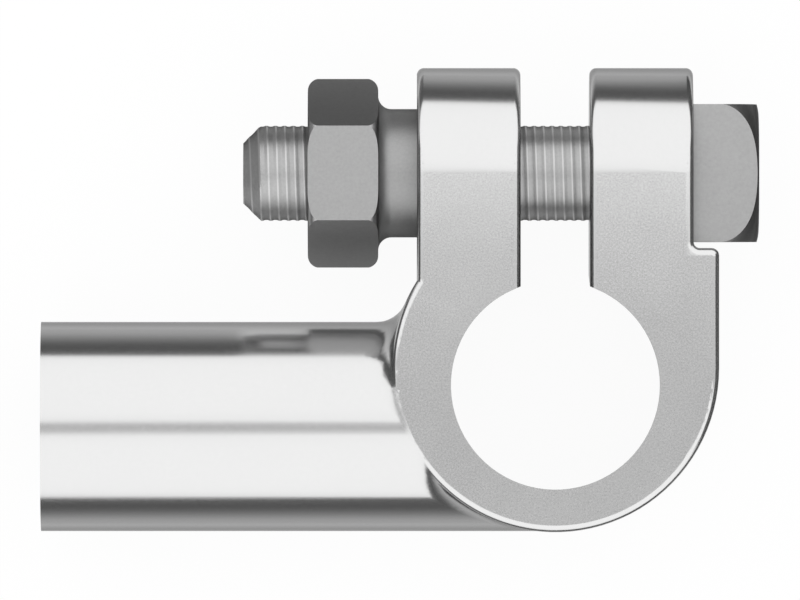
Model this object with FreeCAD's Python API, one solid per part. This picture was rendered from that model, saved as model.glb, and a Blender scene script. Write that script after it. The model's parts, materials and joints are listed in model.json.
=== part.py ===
import FreeCAD, Part
import math
import os

V = FreeCAD.Vector

# Battery terminal clamp, in millimetres.
# Origin: on the axis of the post bore, in the plane that the clamp rests on.
# +X points to the square bolt head, +Y to the ears, +Z to the narrow end of the bore.

# Post bore: the taper is the change of diameter per length
post_diameter_narrow = 17.5
post_taper = 1 / 9

# Ring and ears
body_thickness = 17.7
ring_radius = 13.73
ring_offset_y = 1.41
slot_width = 5.8
bolt_axis_y = 17.8
edge_radius = 0.58

# Ledge that stops the bolt head from turning, with a fillet that the head's corner clears
ledge_width = 2.13
head_gap = 0.52
head_corner_clearance = 0.02
ledge_corner_radius = 0.65

# Cable barrel, just below the two flat faces and just inside the ring's lowest point
barrel_length = 43.2
barrel_below_face = 0.05
barrel_inset = 0.02
blend_radius = 2.6
socket_diameter = 13.0
socket_depth = 24.0
socket_chamfer = 0.6
drill_point_angle = 118.0

# Bolt
bolt_diameter = 8.0
bolt_hole_clearance = 0.4
bolt_end_beyond_nut = 5.43
bolt_end_chamfer = 1.45
head_across_flats = 11.57
head_height = 5.54
head_round = 3.45

# Nut with its round shoulder; the land is the flat left between the fillet and the flats
nut_across_flats = 13.74
hex_height = 5.92
hex_round = 1.0
shoulder_height = 3.25
shoulder_fillet = 1.1
shoulder_land = 0.37
nut_bore_clearance = 0.1
nut_bore_chamfer = 0.3

# Widening of a turned blank past the corners of its flats, so that each corner edge stays whole
corner_relief = 0.02

# Places that follow from the sizes above
mid_z = body_thickness / 2
slot_side_x = slot_width / 2
ear_face_x = ring_radius - ledge_width
ledge_y = bolt_axis_y - head_across_flats / 2 - head_gap
ledge_fillet_radius = head_gap - head_corner_clearance
barrel_diameter = body_thickness - 2 * barrel_below_face
barrel_axis_y = ring_offset_y - ring_radius + barrel_diameter / 2 + barrel_inset
shoulder_radius = nut_across_flats / 2 - shoulder_land - shoulder_fillet
hex_start_x = -ear_face_x - shoulder_height
nut_end_x = hex_start_x - hex_height
bolt_end_x = nut_end_x - bolt_end_beyond_nut
bolt_axis = V(0, bolt_axis_y, mid_z)

# How far a cut runs past what it cuts, and how near two lengths count as the same
OVERSHOOT = 5.0
TOLERANCE = 1e-4


def arc_about(centre, radius, start, end):
    """Arc in the plane z = 0 from one angle to another, counter-clockwise, in degrees."""
    circle = Part.Circle(centre, V(0, 0, 1), radius)
    return Part.ArcOfCircle(circle, math.radians(start), math.radians(end)).toShape()


def line(start, end):
    return Part.LineSegment(start, end).toShape()


def turned(profile):
    """Solid of revolution about the bolt axis; profile is a list of (x, radius) points."""
    points = [V(x, bolt_axis_y + radius, mid_z) for x, radius in profile]
    face = Part.Face(Part.makePolygon(points + points[:1]))
    return face.revolve(bolt_axis, V(1, 0, 0), 360)


def prism_on_bolt_axis(sides, across_flats, start_x, length, first_corner):
    """Regular prism along X; first_corner is the angle from +Y to a corner, in degrees."""
    corner_radius = across_flats / 2 / math.cos(math.pi / sides)
    corners = []
    for step in range(sides + 1):
        angle = math.radians(first_corner + step * 360 / sides)
        offset = V(0, corner_radius * math.cos(angle), corner_radius * math.sin(angle))
        corners.append(bolt_axis + V(start_x, 0, 0) + offset)
    return Part.Face(Part.makePolygon(corners)).extrude(V(length, 0, 0))


def rounded_blank(corner_radius, start_x, end_x, start_round, end_round):
    """Turned blank whose two rims are rounded; a round of zero leaves a sharp rim."""
    radius = corner_radius + corner_relief
    blank = Part.makeCylinder(radius, end_x - start_x, bolt_axis + V(start_x, 0, 0), V(1, 0, 0))
    for rim_x, rim_round in ((start_x, start_round), (end_x, end_round)):
        if rim_round > 0:
            rim = [edge for edge in blank.Edges if is_rim(edge, rim_x, radius)]
            blank = blank.makeFillet(rim_round, rim)
    return blank


def is_rim(edge, x, radius):
    """True for a full circle about the bolt axis at this x."""
    if not isinstance(edge.Curve, Part.Circle):
        return False
    return abs(edge.Curve.Center.x - x) < TOLERANCE and abs(edge.Curve.Radius - radius) < TOLERANCE


def plan_outline():
    """Outline of ring, ears and ledge in plan, with the ears reaching past their rounded ends."""
    top_y = bolt_axis_y + mid_z
    meeting_angle = math.degrees(math.asin(ear_face_x / ring_radius))
    meeting_y = ring_offset_y + ring_radius * math.cos(math.radians(meeting_angle))
    ring_centre = V(0, ring_offset_y, 0)
    outer_corner = V(ring_radius - ledge_corner_radius, ledge_y - ledge_corner_radius, 0)
    inner_corner = V(ear_face_x + ledge_fillet_radius, ledge_y + ledge_fillet_radius, 0)
    edges = [
        line(V(-ear_face_x, top_y, 0), V(-ear_face_x, meeting_y, 0)),
        arc_about(ring_centre, ring_radius, 90 + meeting_angle, 360),
        line(V(ring_radius, ring_offset_y, 0), V(ring_radius, outer_corner.y, 0)),
        arc_about(outer_corner, ledge_corner_radius, 0, 90),
        line(V(outer_corner.x, ledge_y, 0), V(inner_corner.x, ledge_y, 0)),
        arc_about(inner_corner, ledge_fillet_radius, 180, 270),
        line(V(ear_face_x, inner_corner.y, 0), V(ear_face_x, top_y, 0)),
        line(V(ear_face_x, top_y, 0), V(-ear_face_x, top_y, 0)),
    ]
    return Part.Face(Part.Wire(Part.__sortEdges__(edges)))


def side_envelope():
    """Slab between the two flat faces that ends in a half round about the bolt axis."""
    far_y = ring_offset_y - ring_radius - OVERSHOOT
    low = [V(0, far_y, 0), V(0, bolt_axis_y, 0)]
    high = [V(0, bolt_axis_y, body_thickness), V(0, far_y, body_thickness)]
    end = V(0, bolt_axis_y + mid_z, mid_z)
    edges = [
        line(low[0], low[1]),
        Part.Arc(low[1], end, high[0]).toShape(),
        line(high[0], high[1]),
        line(high[1], low[0]),
    ]
    reach = ring_radius + OVERSHOOT
    slab = Part.Face(Part.Wire(edges)).extrude(V(2 * reach, 0, 0))
    slab.translate(V(-reach, 0, 0))
    return slab


def is_outline_edge(edge):
    """True for the edges round the two flat faces and the ear ends, slot sides included."""
    box = edge.BoundBox
    upright = box.XLength < TOLERANCE and box.YLength < TOLERANCE
    across = box.YLength < TOLERANCE and box.ZLength < TOLERANCE
    at_ledge = abs(box.YMin - ledge_y) < TOLERANCE
    return not upright and (at_ledge or not across)


def ring_and_ears():
    """Ring, ears and ledge with the slot cut and every outline edge rounded, bore still solid."""
    plate = plan_outline().extrude(V(0, 0, body_thickness))
    slot_reach = bolt_axis_y + mid_z + OVERSHOOT
    slot_size = (slot_width, slot_reach, body_thickness + 2 * OVERSHOOT)
    slot = Part.makeBox(*slot_size, V(-slot_side_x, 0, -OVERSHOOT))
    plate = plate.cut(slot).common(side_envelope()).removeSplitter()
    return plate.makeFillet(edge_radius, [edge for edge in plate.Edges if is_outline_edge(edge)])


def cable_barrel():
    start = V(-barrel_length, barrel_axis_y, mid_z)
    return Part.makeCylinder(barrel_diameter / 2, barrel_length, start, V(1, 0, 0))


def is_junction_edge(edge):
    """True where the barrel's outside meets the ring's wall or its rounded rim."""
    middle = edge.valueAt((edge.FirstParameter + edge.LastParameter) / 2)
    from_barrel_axis = math.hypot(middle.y - barrel_axis_y, middle.z - mid_z)
    from_ring_axis = math.hypot(middle.x, middle.y - ring_offset_y)
    on_barrel = abs(from_barrel_axis - barrel_diameter / 2) < TOLERANCE
    on_ring = -edge_radius - TOLERANCE < from_ring_axis - ring_radius < TOLERANCE
    return on_barrel and on_ring and middle.x < -TOLERANCE


def cable_socket():
    """Blind drilled hole in the barrel with a chamfered mouth and a drill point."""
    radius = socket_diameter / 2
    mouth_x = -barrel_length
    bottom_x = mouth_x + socket_depth
    mouth_radius = radius + socket_chamfer
    point_length = radius / math.tan(math.radians(drill_point_angle / 2))
    along = V(1, 0, 0)
    hole = Part.makeCylinder(radius, socket_depth, V(mouth_x, barrel_axis_y, mid_z), along)
    mouth = Part.makeCone(mouth_radius, radius, socket_chamfer, V(mouth_x, barrel_axis_y, mid_z), along)
    point = Part.makeCone(radius, 0, point_length, V(bottom_x, barrel_axis_y, mid_z), along)
    return hole.fuse([mouth, point])


def post_bore():
    """Tapered bore, cut past both flat faces."""
    narrow_z = body_thickness + OVERSHOOT
    narrow = post_diameter_narrow / 2 - OVERSHOOT * post_taper / 2
    wide = post_diameter_narrow / 2 + (body_thickness + OVERSHOOT) * post_taper / 2
    return Part.makeCone(wide, narrow, narrow_z + OVERSHOOT, V(0, 0, -OVERSHOOT), V(0, 0, 1))


def bolt_holes():
    radius = (bolt_diameter + bolt_hole_clearance) / 2
    start = bolt_axis - V(ear_face_x + OVERSHOOT, 0, 0)
    return Part.makeCylinder(radius, 2 * (ear_face_x + OVERSHOOT), start, V(1, 0, 0))


def clamp_body():
    """One casting: ring, ears and barrel, with the barrel blended into the ring all round."""
    casting = ring_and_ears().fuse(cable_barrel())
    junction = [edge for edge in casting.Edges if is_junction_edge(edge)]
    casting = casting.makeFillet(blend_radius, junction)
    return casting.cut([post_bore(), bolt_holes(), cable_socket()])


def clamp_bolt():
    """Square head with a rounded outer end, on a shank with a chamfered tip."""
    corner_radius = head_across_flats / 2 * math.sqrt(2)
    head_end_x = ear_face_x + head_height
    square = prism_on_bolt_axis(4, head_across_flats, ear_face_x, head_height, 45)
    head = square.common(rounded_blank(corner_radius, ear_face_x, head_end_x, 0, head_round))
    radius = bolt_diameter / 2
    inside_head_x = ear_face_x + head_height / 2
    shank = turned([
        (bolt_end_x, 0),
        (bolt_end_x, radius - bolt_end_chamfer),
        (bolt_end_x + bolt_end_chamfer, radius),
        (inside_head_x, radius),
        (inside_head_x, 0),
    ])
    return head.fuse(shank).removeSplitter()


def shoulder_nut():
    """Hexagon with rounded corners and a round shoulder that bears on the ear."""
    corner_radius = nut_across_flats / math.sqrt(3)
    prism = prism_on_bolt_axis(6, nut_across_flats, nut_end_x, hex_height, 0)
    hexagon = prism.common(rounded_blank(corner_radius, nut_end_x, hex_start_x, hex_round, hex_round))
    inside_hex = bolt_axis + V(hex_start_x - hex_height / 2, 0, 0)
    shoulder_length = shoulder_height + hex_height / 2
    shoulder = Part.makeCylinder(shoulder_radius, shoulder_length, inside_hex, V(1, 0, 0))
    nut = hexagon.fuse(shoulder).removeSplitter()
    foot = [edge for edge in nut.Edges if is_rim(edge, hex_start_x, shoulder_radius)]
    nut = nut.makeFillet(shoulder_fillet, foot)
    bore_radius = (bolt_diameter + nut_bore_clearance) / 2
    mouth_radius = bore_radius + nut_bore_chamfer
    bore = turned([
        (nut_end_x, 0),
        (nut_end_x, mouth_radius),
        (nut_end_x + nut_bore_chamfer, bore_radius),
        (-ear_face_x - nut_bore_chamfer, bore_radius),
        (-ear_face_x, mouth_radius),
        (-ear_face_x, 0),
    ])
    return nut.cut(bore)


def main():
    os.makedirs("parts", exist_ok=True)
    pieces = {"clamp_body": clamp_body(), "clamp_bolt": clamp_bolt(), "shoulder_nut": shoulder_nut()}
    for name, shape in pieces.items():
        solids = shape.Solids
        print(name, "solids", len(solids), "valid", shape.isValid(), "volume", round(shape.Volume, 2))
        solids[0].exportStep(f"parts/{name}.step")


main()
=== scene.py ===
import json
import math

import bmesh
import bpy
from mathutils import Matrix, Vector


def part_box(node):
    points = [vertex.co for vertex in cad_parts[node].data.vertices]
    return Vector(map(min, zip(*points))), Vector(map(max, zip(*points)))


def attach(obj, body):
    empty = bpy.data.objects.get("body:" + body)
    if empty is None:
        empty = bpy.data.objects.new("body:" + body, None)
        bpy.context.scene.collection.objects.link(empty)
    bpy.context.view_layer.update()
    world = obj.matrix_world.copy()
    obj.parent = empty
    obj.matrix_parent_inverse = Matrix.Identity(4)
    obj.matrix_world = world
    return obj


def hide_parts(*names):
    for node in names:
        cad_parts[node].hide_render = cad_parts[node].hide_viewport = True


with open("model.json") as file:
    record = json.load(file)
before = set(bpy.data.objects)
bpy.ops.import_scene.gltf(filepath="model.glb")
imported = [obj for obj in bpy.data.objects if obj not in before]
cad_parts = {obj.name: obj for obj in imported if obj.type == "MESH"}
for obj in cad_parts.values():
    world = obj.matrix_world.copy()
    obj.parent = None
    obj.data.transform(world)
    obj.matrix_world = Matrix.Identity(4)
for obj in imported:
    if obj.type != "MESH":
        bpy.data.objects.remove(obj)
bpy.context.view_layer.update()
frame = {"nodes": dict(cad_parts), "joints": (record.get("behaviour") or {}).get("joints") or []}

MM = 0.001

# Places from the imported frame
body_low, body_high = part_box("clamp_body")
bolt_low, bolt_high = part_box("clamp_bolt")
nut_low, nut_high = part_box("shoulder_nut")
joints = {joint["name"]: joint for joint in frame["joints"]}
bolt_axis = Vector(joints["nut_turn"]["pos_m"])

# The nut bears on the left ear and the bolt's head on the right one, equally far from x = 0
head_face_x = -nut_high.x

# Bolt and nut: a shallow right-hand thread with a crest facing +Z at CREST_X
BOLT_RADIUS = 4.0 * MM
TIP_RADIUS = 2.55 * MM
TIP_GROOVE_SHARE = 0.5
NUT_BORE_RADIUS = 4.05 * MM
NUT_MOUTH_RADIUS = 4.35 * MM
NUT_RIM = 0.04 * MM
HEX_END_X = -14.8 * MM
THREAD_PITCH = 0.75 * MM
THREAD_DEPTH = 0.07 * MM
CREST_FLAT = 0.14 * MM
FLANK_WIDTH = 0.2 * MM
CREST_DROP = 0.01 * MM
CREST_NORMAL = 0.9
CREST_X = -24.81 * MM
ROOT_ROWS = 3
TURN_STEPS = 64
SPARE_PITCHES = 1

# Cuts across the body's mesh, on both sides of the left ear's foot and at the ledge
EAR_JUNCTION_Y = 8.67 * MM
JUNCTION_CUT = 0.28 * MM
LEDGE_CUT_X = 10.9 * MM
LEDGE_CUT_Y = 10.8 * MM

# Bores inside the body, and how squarely a face of theirs has to look at the bore's axis
BARREL_Y = -3.5 * MM
POST_BORE_RADIUS = 9.8 * MM
SOCKET_RADIUS = 7.15 * MM
SOCKET_END_X = -18.0 * MM
BOLT_HOLE_RADIUS = 4.25 * MM
INWARD_SHARE = 0.9
ENDWISE_SHARE = 0.5

# Joining and shading of the meshes
WELD_DISTANCE = 0.001 * MM
EMPTY_EDGE = WELD_DISTANCE / 10
SHARP_ANGLE = math.radians(30)
FLAT_NORMAL = 0.9999

# Metals, with the size of a grain in millimetres and its relief in micrometres
MICRON = 0.001 * MM
TONE_SIZE = 4.0 * MM
TONE_DETAIL = 4
GRAIN_DETAIL = 3
GRAIN_ROUGHNESS = 0.6
GRAIN_SHARE = 0.8
GLOSS_CHANGE = 0.15
EDGE_TINT = 0.4
STEEL_EDGE_TINT = 0.1
CASTING_SHADE = 0.556
CASTING_ROUGHNESS = 0.19
MARK_STRETCH = 0.03

# Place of each metal in its piece's list; the nut's list starts with the bolt's first metal
CAST, GROUND, BORED, DRILLED = range(4)
FORGED, ROLLED, CREST_HIGHLIGHT = range(3)
TURNED = 1

# Camera over the face that the photo shows, with the photo's centre below it
CAMERA_LENS = 1200.0
SENSOR_WIDTH = 36.0
VIEW_WIDTH = 67.2 * MM
VIEW_CENTRE = Vector((-13.02 * MM, 7.14 * MM, 0))
VIEW_PLANE_Z = 12.0 * MM
CLIP_NEAR = 0.01
CLIP_FAR = 4.0

# Studio: a grey card overhead between two large softboxes, with dark ends
STUDIO_X = -13.0 * MM
STUDIO_HALF_LENGTH = 420 * MM
STUDIO_TOP = 300 * MM
OVERHEAD_Y = -8.4 * MM
OVERHEAD_HALF = 28 * MM
OVERHEAD_SHADE = 0.665
SOFTBOX_RADIANCE = 0.55
SOFTBOX_FOOT_Y = 400 * MM
SOFTBOX_FOOT_Z = 50 * MM
END_WALL_SHADE = 0.125
END_WALL_HALF = 220 * MM
WORLD_LIGHT = 0.8

# Floor, and the share of plain white in it where it is seen
FLOOR_PAINT = 0.85
FLOOR_SHARE = 0.94
FLOOR_HALF = 4000 * MM
FLOOR_GAP = 0.02 * MM

# Low cards round the object, most of them dark at the top and paler towards the foot
LOW_CARD_GAP = 20 * MM
LOW_CARD_SIDE_GAP = 10 * MM
LOW_CARD_END_GAP = 0.3 * MM
EAR_INSET = 2.0 * MM
LOW_CARD_HEIGHT = 16.5 * MM
LOW_CARD_SHADE = 0.12
LOW_CARD_FOOT_SHADE = 0.76
NUT_CARD_FOOT_SHADE = 0.3
TIP_CARD_SHADE = 0.45
FADE_FOOT = 1.0 * MM
FADE_TOP = 13.0 * MM


def join_close(work):
    """Joins vertices that fall together, and takes out what is left without a width."""
    bmesh.ops.remove_doubles(work, verts=work.verts, dist=WELD_DISTANCE)
    bmesh.ops.dissolve_degenerate(work, edges=work.edges, dist=EMPTY_EDGE)


def weld(mesh):
    """Joins the CAD faces' edges, shades smoothly and keeps edges sharper than the limit."""
    work = bmesh.new()
    work.from_mesh(mesh)
    join_close(work)
    for face in work.faces:
        face.smooth = True
    for edge in work.edges:
        faces = edge.link_faces
        edge.smooth = len(faces) == 2 and edge.calc_face_angle(0) < SHARP_ANGLE
    work.to_mesh(mesh)
    work.free()


def clean_copy(node, name):
    """A piece that stands for a CAD node, from its own mesh with the faces joined."""
    source = frame["nodes"][node].data
    mesh = bpy.data.meshes.new(name)
    work = bmesh.new()
    work.from_mesh(source)
    work.to_mesh(mesh)
    work.free()
    weld(mesh)
    piece = bpy.data.objects.new(name, mesh)
    bpy.context.scene.collection.objects.link(piece)
    return piece


def cut_across(mesh, place, direction, only_flat=False):
    """Adds vertices where a plane meets the mesh, so that shading doesn't run along slim faces."""
    work = bmesh.new()
    work.from_mesh(mesh)
    # A dict keeps the parts in order, so that each run gives the same mesh
    parts = {}
    for face in work.faces:
        if only_flat and abs(face.normal.z) < FLAT_NORMAL:
            continue
        parts.update(dict.fromkeys((*face.verts, *face.edges, face)))
    bmesh.ops.bisect_plane(work, geom=list(parts), plane_co=place, plane_no=direction)
    work.to_mesh(mesh)
    work.free()


def even_normals(piece):
    """Lets large faces keep their own direction where a rounding meets them."""
    modifier = piece.modifiers.new("even_normals", "WEIGHTED_NORMAL")
    modifier.mode = "FACE_AREA"
    modifier.keep_sharp = True


def sort_faces(piece, finish):
    """Gives each face the place of its metal in the piece's list, as finish works it out."""
    for face in piece.data.polygons:
        face.material_index = finish(face)


def from_axis(point):
    """Distance of a point from the bolt's axis."""
    return math.hypot(point.y - bolt_axis.y, point.z - bolt_axis.z)


def body_finish(face):
    """Place in the body's metals for a face: cast, ground flat, bored along Z or along X."""
    place = face.center
    to_axis = -(place.x * face.normal.x + place.y * face.normal.y)
    across = math.hypot(place.x, place.y)
    from_barrel = math.hypot(place.y - BARREL_Y, place.z - bolt_axis.z)
    if abs(face.normal.z) > FLAT_NORMAL:
        return GROUND
    if across < POST_BORE_RADIUS and to_axis > INWARD_SHARE * across:
        return BORED
    if place.x < SOCKET_END_X and from_barrel < SOCKET_RADIUS:
        return DRILLED
    if from_axis(place) < BOLT_HOLE_RADIUS and abs(face.normal.x) < ENDWISE_SHARE:
        return DRILLED
    return CAST


def finished_body():
    """Cast body with its faces joined and each sorted by its finish."""
    body = clean_copy("clamp_body", "cast_clamp_body")
    for side in (-1, 1):
        cut_across(body.data, (0, EAR_JUNCTION_Y + side * JUNCTION_CUT, 0), (0, 1, 0))
    cut_across(body.data, (0, LEDGE_CUT_Y, 0), (0, 1, 0))
    cut_across(body.data, (LEDGE_CUT_X, 0, 0), (1, 0, 0), only_flat=True)
    weld(body.data)
    sort_faces(body, body_finish)
    return body


def thread_drop(x, angle):
    """Depth below the crest of a right-hand thread, at an angle from +Y towards +Z."""
    turn = (x - CREST_X) / THREAD_PITCH - (angle - math.pi / 2) / (2 * math.pi)
    from_crest = abs(turn - round(turn)) * THREAD_PITCH
    return THREAD_DEPTH * min(max((from_crest - CREST_FLAT / 2) / FLANK_WIDTH, 0), 1)


def pitch_rows():
    """Places along one pitch, from the middle of a crest, where the thread's shape bends."""
    crest = CREST_FLAT / 2
    root = crest + FLANK_WIDTH
    root_width = THREAD_PITCH - 2 * root
    rows = [0, crest]
    for row in range(ROOT_ROWS + 1):
        rows.append(root + root_width * row / ROOT_ROWS)
    rows.append(THREAD_PITCH - crest)
    return rows


def helical_skin(work, start_x, end_x, radius_at):
    """Threaded surface round the bolt's axis that follows the helix and ends in two flat rims."""
    turns = math.ceil((end_x - start_x) / THREAD_PITCH) + 2 * SPARE_PITCHES
    first_crest = math.floor((start_x - CREST_X) / THREAD_PITCH) - SPARE_PITCHES
    rows = pitch_rows()
    grid = []
    for turn in range(turns):
        for row in rows:
            middle = CREST_X + (first_crest + turn) * THREAD_PITCH + row
            grid.append(helical_row(work, middle, start_x, end_x, radius_at))
    join_grid(work, grid, len(rows))
    join_close(work)


def helical_row(work, middle, start_x, end_x, radius_at):
    """One turn of vertices along the helix, with its top at middle."""
    row = []
    for step in range(TURN_STEPS):
        angle = 2 * math.pi * step / TURN_STEPS
        x = middle + THREAD_PITCH * (angle - math.pi / 2) / (2 * math.pi)
        x = min(max(x, start_x), end_x)
        radius = radius_at(x, angle)
        y = bolt_axis.y + radius * math.cos(angle)
        z = bolt_axis.z + radius * math.sin(angle)
        row.append(work.verts.new((x, y, z)))
    return row


def join_grid(work, grid, rows_in_pitch):
    """Faces between the rows of a helical grid, with one pitch of offset at the seam."""
    for row in range(len(grid) - 1):
        for step in range(TURN_STEPS - 1):
            low = (grid[row][step], grid[row][step + 1])
            work.faces.new((*low, grid[row + 1][step + 1], grid[row + 1][step]))
        ahead = row + rows_in_pitch
        if ahead + 1 < len(grid):
            work.faces.new((grid[row][-1], grid[ahead][0], grid[ahead + 1][0], grid[row + 1][-1]))


def open_rims(work, rim_x):
    """Open edges that lie in one plane across the bolt's axis."""
    rims = []
    for edge in work.edges:
        if edge.is_boundary and all(abs(vert.co.x - rim_x) < WELD_DISTANCE for vert in edge.verts):
            rims.append(edge)
    return rims


def run_out(x, end_x):
    """Share of the thread's depth near an end where it runs out over one pitch."""
    return min(max((end_x - x) / THREAD_PITCH, 0), 1)


def bolt_surface(x, angle):
    """Radius of the bolt's thread, which the chamfer at the tip cuts off."""
    groove = thread_drop(x, angle) * run_out(x, head_face_x)
    chamfer = TIP_RADIUS + (x - bolt_low.x)
    return min(BOLT_RADIUS - groove, chamfer - TIP_GROOVE_SHARE * groove)


def nut_surface(x, angle):
    """Radius of the nut's inner thread, which opens in a chamfer at both ends."""
    from_end = min(x - nut_low.x, nut_high.x - x)
    return max(NUT_BORE_RADIUS + thread_drop(x, angle), NUT_MOUTH_RADIUS - NUT_RIM - from_end)


def on_shank(x):
    """Whether a place along the bolt lies before the inner face of its head."""
    return x < head_face_x - WELD_DISTANCE


def bolt_finish(face):
    """Place in the bolt's metals for a face: forged head, rolled thread, or crests painted lighter as
    a highlight.
    """
    place = face.center
    if not on_shank(place.x):
        return FORGED
    angle = math.atan2(place.z - bolt_axis.z, place.y - bolt_axis.y)
    on_crest = thread_drop(place.x, angle) < CREST_DROP
    # Crest faces take the lighter metal, a painted highlight along the thread
    return CREST_HIGHLIGHT if on_crest and abs(face.normal.x) < CREST_NORMAL else ROLLED


def nut_finish(face):
    """Place in the nut's metals for a face: forged hexagon, or turned shoulder and thread."""
    turned = face.center.x > HEX_END_X or from_axis(face.center) < NUT_MOUTH_RADIUS
    return TURNED if turned else FORGED


def threaded_bolt():
    """Square head from the CAD node with a shank that carries the real helical thread."""
    bolt = clean_copy("clamp_bolt", "threaded_clamp_bolt")
    work = bmesh.new()
    work.from_mesh(bolt.data)
    shank = [face for face in work.faces if on_shank(face.calc_center_median().x)]
    bmesh.ops.delete(work, geom=shank, context="FACES")
    root_x = head_face_x + THREAD_PITCH
    helical_skin(work, bolt_low.x, root_x, bolt_surface)
    # The new shank ends one pitch inside the head, and both are closed
    for rim_x in (bolt_low.x, head_face_x, root_x):
        bmesh.ops.holes_fill(work, edges=open_rims(work, rim_x), sides=0)
    bmesh.ops.recalc_face_normals(work, faces=work.faces)
    work.to_mesh(bolt.data)
    work.free()
    weld(bolt.data)
    sort_faces(bolt, bolt_finish)
    return bolt


def threaded_nut():
    """Nut from the CAD node with a real internal thread in place of its plain bore."""
    nut = clean_copy("shoulder_nut", "rounded_shoulder_nut")
    work = bmesh.new()
    work.from_mesh(nut.data)
    bore = []
    for face in work.faces:
        if all(from_axis(vert.co) < NUT_MOUTH_RADIUS + WELD_DISTANCE for vert in face.verts):
            bore.append(face)
    bmesh.ops.delete(work, geom=bore, context="FACES")
    helical_skin(work, nut_low.x, nut_high.x, nut_surface)
    for rim_x in (nut_low.x, nut_high.x):
        bmesh.ops.triangle_fill(work, edges=open_rims(work, rim_x), normal=(1, 0, 0))
    bmesh.ops.recalc_face_normals(work, faces=work.faces)
    work.to_mesh(nut.data)
    work.free()
    weld(nut.data)
    sort_faces(nut, nut_finish)
    return nut


def grey(level):
    """Opaque grey of one level, where nought is black and one is white."""
    return (level, level, level, 1)


def noise(nodes, links, place, size, detail):
    """Noise with spots of about the given size."""
    spots = nodes.new("ShaderNodeTexNoise")
    spots.inputs["Scale"].default_value = 1 / size
    spots.inputs["Detail"].default_value = detail
    links.new(place, spots.inputs["Vector"])
    return spots


def between(nodes, links, value, low, high):
    """Level that goes from low to high while the value goes from nought to one."""
    level = nodes.new("ShaderNodeMapRange")
    level.inputs["To Min"].default_value = low
    level.inputs["To Max"].default_value = high
    links.new(value, level.inputs["Value"])
    return level


def metal(name, shade, roughness, grain_size, relief, speckle, edge_tint=EDGE_TINT, stretch=(1, 1, 1)):
    """Metal with a fine grain or tool marks in tone, gloss and relief, over slow changes of tone."""
    material = bpy.data.materials.new(name)
    material.use_nodes = True
    nodes = material.node_tree.nodes
    links = material.node_tree.links
    shader = nodes["Principled BSDF"]
    shader.inputs["Metallic"].default_value = 1.0
    shader.inputs["Specular Tint"].default_value = grey(edge_tint)
    place = nodes.new("ShaderNodeTexCoord")

    marks = nodes.new("ShaderNodeMapping")
    marks.inputs["Scale"].default_value = stretch
    links.new(place.outputs["Object"], marks.inputs["Vector"])
    grain = noise(nodes, links, marks.outputs["Vector"], grain_size, GRAIN_DETAIL)
    grain.inputs["Roughness"].default_value = GRAIN_ROUGHNESS
    smooth = roughness * (1 - GLOSS_CHANGE)
    rough = roughness * (1 + GLOSS_CHANGE)
    gloss = between(nodes, links, grain.outputs["Fac"], smooth, rough)
    links.new(gloss.outputs["Result"], shader.inputs["Roughness"])
    bump = nodes.new("ShaderNodeBump")
    bump.inputs["Strength"].default_value = 1.0
    bump.inputs["Distance"].default_value = relief
    links.new(grain.outputs["Fac"], bump.inputs["Height"])
    links.new(bump.outputs["Normal"], shader.inputs["Normal"])

    tone = noise(nodes, links, place.outputs["Object"], TONE_SIZE, TONE_DETAIL)
    both = nodes.new("ShaderNodeMix")
    both.inputs["Factor"].default_value = GRAIN_SHARE
    links.new(tone.outputs["Fac"], both.inputs["A"])
    links.new(grain.outputs["Fac"], both.inputs["B"])
    colour = nodes.new("ShaderNodeMix")
    colour.data_type = "RGBA"
    colour.inputs["A"].default_value = grey(shade * (1 - speckle))
    colour.inputs["B"].default_value = grey(shade * (1 + speckle))
    links.new(both.outputs["Result"], colour.inputs["Factor"])
    links.new(colour.outputs["Result"], shader.inputs["Base Color"])
    return material


def bright_casting():
    """Bright skin of the casting."""
    return metal(
        "bright_casting",
        shade=CASTING_SHADE,
        roughness=CASTING_ROUGHNESS,
        grain_size=0.25 * MM,
        relief=0.3 * MICRON,
        speckle=0.03,
    )


def ground_face():
    """Flat faces of the casting, ground to a fine speckle."""
    return metal(
        "ground_face",
        shade=CASTING_SHADE,
        roughness=CASTING_ROUGHNESS,
        grain_size=0.15 * MM,
        relief=0.6 * MICRON,
        speckle=0.3,
    )


def cut_metal(name, stretch):
    """Bore of the casting, with tool marks that run round its axis."""
    return metal(
        name,
        shade=0.5,
        roughness=0.3,
        grain_size=0.15 * MM,
        relief=2.0 * MICRON,
        speckle=0.2,
        stretch=stretch,
    )


def steel(name, shade, roughness, speckle):
    """Dull grey steel of the bolt and the nut."""
    return metal(
        name,
        shade=shade,
        roughness=roughness,
        grain_size=0.25 * MM,
        relief=0.8 * MICRON,
        speckle=speckle,
        edge_tint=STEEL_EDGE_TINT,
    )


def crest_painted_highlight():
    """Crests of the bolt's thread, painted lighter than the thread as a highlight along each crest."""
    # The shade above the rolled thread's is a painted highlight on the crests
    return metal(
        "crest_painted_highlight",
        shade=0.5,
        roughness=0.4,
        grain_size=0.14 * MM,
        relief=0.4 * MICRON,
        speckle=0.05,
    )


def dress(piece, node, body, metals):
    """Makes a piece stand for its CAD node, which it hides, with its metals and body."""
    for material in metals:
        piece.data.materials.append(material)
    even_normals(piece)
    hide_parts(node)
    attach(piece, body)


def build():
    """Makes the three pieces and gives each its metals and body."""
    forged = steel("dull_steel", shade=0.348, roughness=0.33, speckle=0.15)
    turned = steel("turned_steel", shade=0.345, roughness=0.5, speckle=0.2)
    rolled = steel("rolled_thread", shade=0.37, roughness=0.43, speckle=0.2)
    bored = cut_metal("bored_along_z", (MARK_STRETCH, MARK_STRETCH, 1))
    drilled = cut_metal("drilled_along_x", (1, MARK_STRETCH, MARK_STRETCH))
    body_metals = (bright_casting(), ground_face(), bored, drilled)
    dress(finished_body(), "clamp_body", "clamp", body_metals)
    dress(threaded_bolt(), "clamp_bolt", "bolt", (forged, rolled, crest_painted_highlight()))
    dress(threaded_nut(), "shoulder_nut", "nut", (forged, turned))


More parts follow.
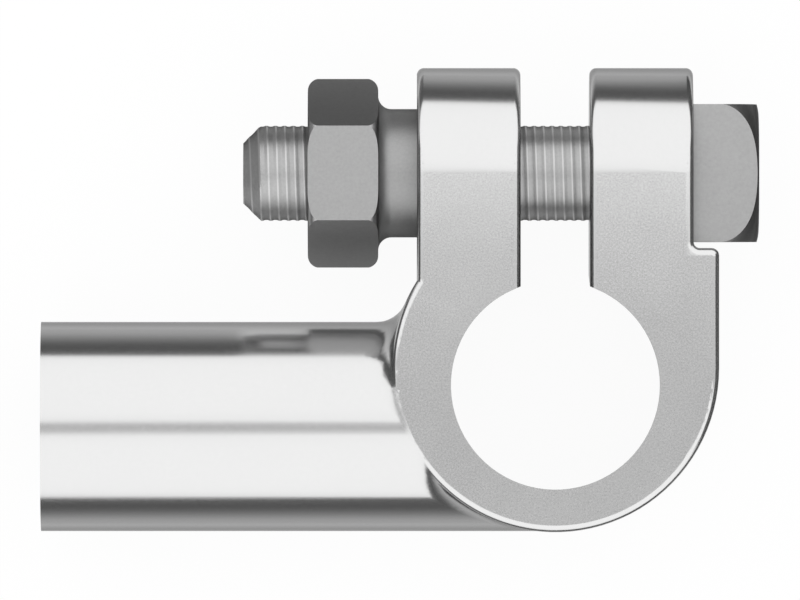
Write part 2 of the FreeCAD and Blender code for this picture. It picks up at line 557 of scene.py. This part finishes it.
def seen_directly(nodes, links):
    """One for rays from the camera, mirrors and glass, and nought for light on the object."""
    path = nodes.new("ShaderNodeLightPath")
    seen = path.outputs["Is Camera Ray"]
    for kind in ("Is Glossy Ray", "Is Transmission Ray"):
        either = nodes.new("ShaderNodeMath")
        either.operation = "MAXIMUM"
        links.new(seen, either.inputs[0])
        links.new(path.outputs[kind], either.inputs[1])
        seen = either.outputs[0]
    return seen


def bare_material(name):
    """Material of the set that has no shader yet, with its nodes and links."""
    material = bpy.data.materials.new(name)
    material.use_nodes = True
    nodes = material.node_tree.nodes
    nodes.remove(nodes["Principled BSDF"])
    return material, nodes, material.node_tree.links


def level_corners(low, high, z):
    """Corners of a level rectangle, from its lowest and highest X and Y."""
    return [(low[0], low[1], z), (high[0], low[1], z), (high[0], high[1], z), (low[0], high[1], z)]


def upright_corners(start, end, top):
    """Corners of an upright rectangle over a straight line on the floor."""
    return [(*start, 0), (*end, 0), (*end, top), (*start, top)]


def flat_mesh(name, corners, material):
    """One flat face of the set, which isn't part of the object."""
    mesh = bpy.data.meshes.new(name)
    work = bmesh.new()
    work.faces.new([work.verts.new(corner) for corner in corners])
    work.to_mesh(mesh)
    work.free()
    mesh.materials.append(material)
    piece = bpy.data.objects.new(name, mesh)
    bpy.context.scene.collection.objects.link(piece)
    return piece


def pale_floor():
    """Wide pale floor that the clamp rests on, white where it is seen but still shaded."""
    material, nodes, links = bare_material("pale_floor")
    paint = nodes.new("ShaderNodeBsdfDiffuse")
    paint.inputs["Color"].default_value = grey(FLOOR_PAINT)
    white = nodes.new("ShaderNodeEmission")
    white.inputs["Color"].default_value = grey(1)
    share = nodes.new("ShaderNodeMath")
    share.operation = "MULTIPLY"
    share.inputs[1].default_value = FLOOR_SHARE
    links.new(seen_directly(nodes, links), share.inputs[0])
    mix = nodes.new("ShaderNodeMixShader")
    links.new(share.outputs[0], mix.inputs[0])
    links.new(paint.outputs[0], mix.inputs[1])
    links.new(white.outputs[0], mix.inputs[2])
    links.new(mix.outputs[0], nodes["Material Output"].inputs["Surface"])
    half = FLOOR_HALF
    flat_mesh("floor", level_corners((-half, -half), (half, half), -FLOOR_GAP), material)


def card_material(name, shade, foot_shade):
    """Even grey card, or one that gets paler towards its foot, for mirrors alone."""
    material, nodes, links = bare_material(name)
    card = nodes.new("ShaderNodeEmission")
    card.inputs["Color"].default_value = grey(1)
    card.inputs["Strength"].default_value = shade
    if foot_shade != shade:
        place = nodes.new("ShaderNodeTexCoord")
        height = nodes.new("ShaderNodeSeparateXYZ")
        links.new(place.outputs["Object"], height.inputs[0])
        fade = between(nodes, links, height.outputs["Z"], foot_shade, shade)
        fade.interpolation_type = "SMOOTHSTEP"
        fade.inputs["From Min"].default_value = FADE_FOOT
        fade.inputs["From Max"].default_value = FADE_TOP
        links.new(fade.outputs["Result"], card.inputs["Strength"])
    links.new(card.outputs[0], nodes["Material Output"].inputs["Surface"])
    return material


def card(name, corners, shade, foot_shade=None):
    """Card that only mirrors see, as used round bright metal in a studio."""
    if foot_shade is None:
        foot_shade = shade
    piece = flat_mesh(name, corners, card_material(name, shade, foot_shade))
    piece.visible_camera = False
    piece.visible_diffuse = False
    piece.visible_transmission = False
    piece.visible_shadow = False


def softbox(name, near, far):
    """Lamp as long as the studio, between a near and a far edge given as Y and Z."""
    across = Vector((0, far[0] - near[0], far[1] - near[1]))
    width = 2 * STUDIO_HALF_LENGTH
    height = across.length
    side = Vector((1, 0, 0))
    up = across.normalized()
    back = side.cross(up)
    if back.z < 0:
        side = -side
        back = -back
    data = bpy.data.lights.new(name, "AREA")
    data.shape = "RECTANGLE"
    data.size = width
    data.size_y = height
    data.energy = SOFTBOX_RADIANCE * width * height * math.pi
    lamp = bpy.data.objects.new(name, data)
    matrix = Matrix((side, up, back)).transposed().to_4x4()
    matrix.translation = Vector((STUDIO_X, (near[0] + far[0]) / 2, (near[1] + far[1]) / 2))
    lamp.matrix_world = matrix
    lamp.visible_camera = False
    bpy.context.scene.collection.objects.link(lamp)


def studio():
    """Grey card overhead, a large softbox on both sides of it and two dark end walls."""
    low_x = STUDIO_X - STUDIO_HALF_LENGTH
    high_x = STUDIO_X + STUDIO_HALF_LENGTH
    low_y = OVERHEAD_Y - OVERHEAD_HALF
    high_y = OVERHEAD_Y + OVERHEAD_HALF
    top = STUDIO_TOP
    card("overhead_card", level_corners((low_x, low_y), (high_x, high_y), top), OVERHEAD_SHADE)
    softbox("front_softbox", (low_y, top), (-SOFTBOX_FOOT_Y, SOFTBOX_FOOT_Z))
    softbox("back_softbox", (high_y, top), (SOFTBOX_FOOT_Y, SOFTBOX_FOOT_Z))
    half = END_WALL_HALF
    for name, x in (("left_end_wall", low_x), ("right_end_wall", high_x)):
        card(name, upright_corners((x, -half), (x, half), top), END_WALL_SHADE)


def low_card(name, start, end, foot_shade, shade=LOW_CARD_SHADE):
    """Low upright card over a straight line on the floor."""
    card(name, upright_corners(start, end, LOW_CARD_HEIGHT), shade, foot_shade)


def low_cards():
    """Low cards all round the object, each with the shade that its side of the photo shows."""
    front_y = BARREL_Y - LOW_CARD_GAP
    barrel_back_y = BARREL_Y + LOW_CARD_GAP
    back_y = bolt_axis.y + LOW_CARD_GAP
    left_x = body_low.x - LOW_CARD_GAP
    right_x = bolt_high.x + LOW_CARD_SIDE_GAP
    barrel_x = bolt_low.x - LOW_CARD_END_GAP
    ear_x = body_high.x - EAR_INSET
    pale = LOW_CARD_FOOT_SHADE
    dark = LOW_CARD_SHADE
    tip_shade = TIP_CARD_SHADE
    low_card("front_low_card", (left_x, front_y), (ear_x, front_y), pale)
    low_card("head_front_low_card", (ear_x, front_y), (right_x, front_y), dark)
    low_card("barrel_low_card", (left_x, barrel_back_y), (barrel_x, barrel_back_y), pale)
    low_card("tip_low_card", (barrel_x, barrel_back_y), (barrel_x, back_y), tip_shade, tip_shade)
    low_card("nut_low_card", (barrel_x, back_y), (-ear_x, back_y), NUT_CARD_FOOT_SHADE)
    low_card("ear_low_card", (-ear_x, back_y), (ear_x, back_y), pale)
    low_card("head_low_card", (ear_x, back_y), (right_x, back_y), dark)
    low_card("left_low_card", (left_x, front_y), (left_x, barrel_back_y), pale)
    low_card("right_low_card", (right_x, front_y), (right_x, back_y), dark)


def world_light():
    """White surroundings, a little weaker where they light the object."""
    world = bpy.data.worlds.new("studio")
    bpy.context.scene.world = world
    world.use_nodes = True
    nodes = world.node_tree.nodes
    links = world.node_tree.links
    background = nodes["Background"]
    background.inputs["Color"].default_value = grey(1)
    level = between(nodes, links, seen_directly(nodes, links), WORLD_LIGHT, 1)
    links.new(level.outputs["Result"], background.inputs["Strength"])


def camera():
    """Long lens straight above the face, as far off as the photo's view needs."""
    data = bpy.data.cameras.new("camera")
    data.lens = CAMERA_LENS
    data.sensor_width = SENSOR_WIDTH
    distance = VIEW_WIDTH * CAMERA_LENS / SENSOR_WIDTH
    data.clip_start = distance * CLIP_NEAR
    data.clip_end = distance * CLIP_FAR
    view = bpy.data.objects.new("camera", data)
    view.location = VIEW_CENTRE + Vector((0, 0, VIEW_PLANE_Z + distance))
    bpy.context.scene.collection.objects.link(view)
    bpy.context.scene.camera = view


build()
pale_floor()
studio()
low_cards()
world_light()
camera()
scene = bpy.context.scene
scene.view_settings.view_transform = "Standard"
